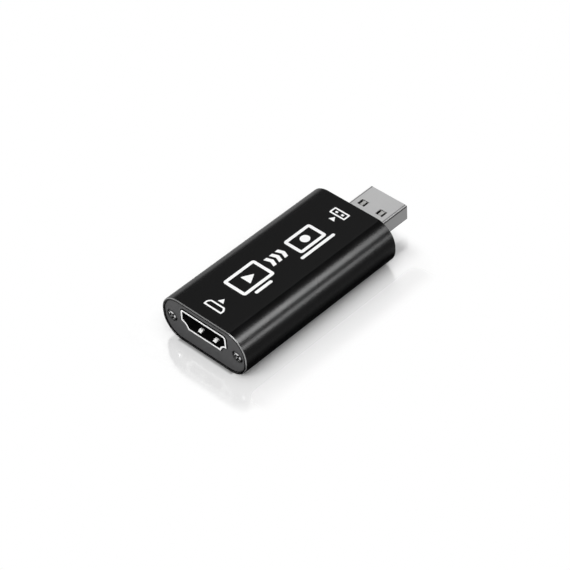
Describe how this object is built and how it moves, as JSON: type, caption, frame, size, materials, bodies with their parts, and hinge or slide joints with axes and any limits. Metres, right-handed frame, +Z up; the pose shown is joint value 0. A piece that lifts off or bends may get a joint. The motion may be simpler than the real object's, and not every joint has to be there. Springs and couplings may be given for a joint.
{
  "type": "video capture stick",
  "caption": "Flat metal stick with round sides, a video input socket in one end and a flat data plug on the other, that passes a video signal on to a computer.",
  "frame": {"origin": "on the flat underside, below the middle of the whole length", "axes": "+X along the stick towards the data plug, +Y to its left, +Z up from the underside"},
  "size_m": [0.065, 0.0278, 0.0128],
  "materials": {
    "sleeve": "black anodised, satin",
    "cover": "dark grey, matt",
    "screw": "black oxide",
    "board": "green solder mask on glass fibre board",
    "socket_metal": "bright nickel",
    "socket_plastic": "black moulded",
    "spring": "bright nickel",
    "plug_metal": "nickel plated, satin",
    "plug_plastic": "pale grey moulded",
    "contact": "gold plated",
    "chip": "black moulded",
    "lead": "tin plated",
    "ceramic": "fired, matt"
  },
  "bodies": {
    "stick": {"housing_sleeve": "sleeve", "input_cover": "cover", "output_cover": "cover", "input_cover_screws": "screw", "output_cover_screws": "screw", "circuit_board": "board", "socket_shell": "socket_metal", "socket_insulator": "socket_plastic", "socket_contacts_upper": "contact", "socket_contacts_lower": "contact", "plug_shell": "plug_metal", "plug_insulator": "plug_plastic", "plug_contacts": "contact", "capture_chip": "chip", "capture_chip_leads": "lead", "memory_chip": "chip", "memory_chip_leads": "lead", "crystal_base": "ceramic", "crystal_lid": "lead", "voltage_regulators": "chip", "voltage_regulator_leads": "lead", "surge_arrays": "chip", "capacitor_bodies": "ceramic", "capacitor_ends": "lead", "resistor_bodies": "chip", "resistor_ends": "lead"},
    "spring_top_left": {"socket_spring_top_left": "spring"},
    "spring_top_right": {"socket_spring_top_right": "spring"},
    "spring_bottom_left": {"socket_spring_bottom_left": "spring"},
    "spring_bottom_right": {"socket_spring_bottom_right": "spring"}
  },
  "joints": [
    {"name": "top_left_flex", "type": "hinge", "parent": "stick", "child": "spring_top_left", "pos_m": [-0.0261, 0.0035, 0.0103], "axis": [0, 1, 0], "range_deg": [0, 2.5], "stiffness_Nm_per_rad": 0.09},
    {"name": "top_right_flex", "type": "hinge", "parent": "stick", "child": "spring_top_right", "pos_m": [-0.0261, -0.0035, 0.0103], "axis": [0, 1, 0], "range_deg": [0, 2.5], "stiffness_Nm_per_rad": 0.09},
    {"name": "bottom_left_flex", "type": "hinge", "parent": "stick", "child": "spring_bottom_left", "pos_m": [-0.0261, 0.0025, 0.0053], "axis": [0, -1, 0], "range_deg": [0, 2.5], "stiffness_Nm_per_rad": 0.09},
    {"name": "bottom_right_flex", "type": "hinge", "parent": "stick", "child": "spring_bottom_right", "pos_m": [-0.0261, -0.0025, 0.0053], "axis": [0, -1, 0], "range_deg": [0, 2.5], "stiffness_Nm_per_rad": 0.09}
  ]
}
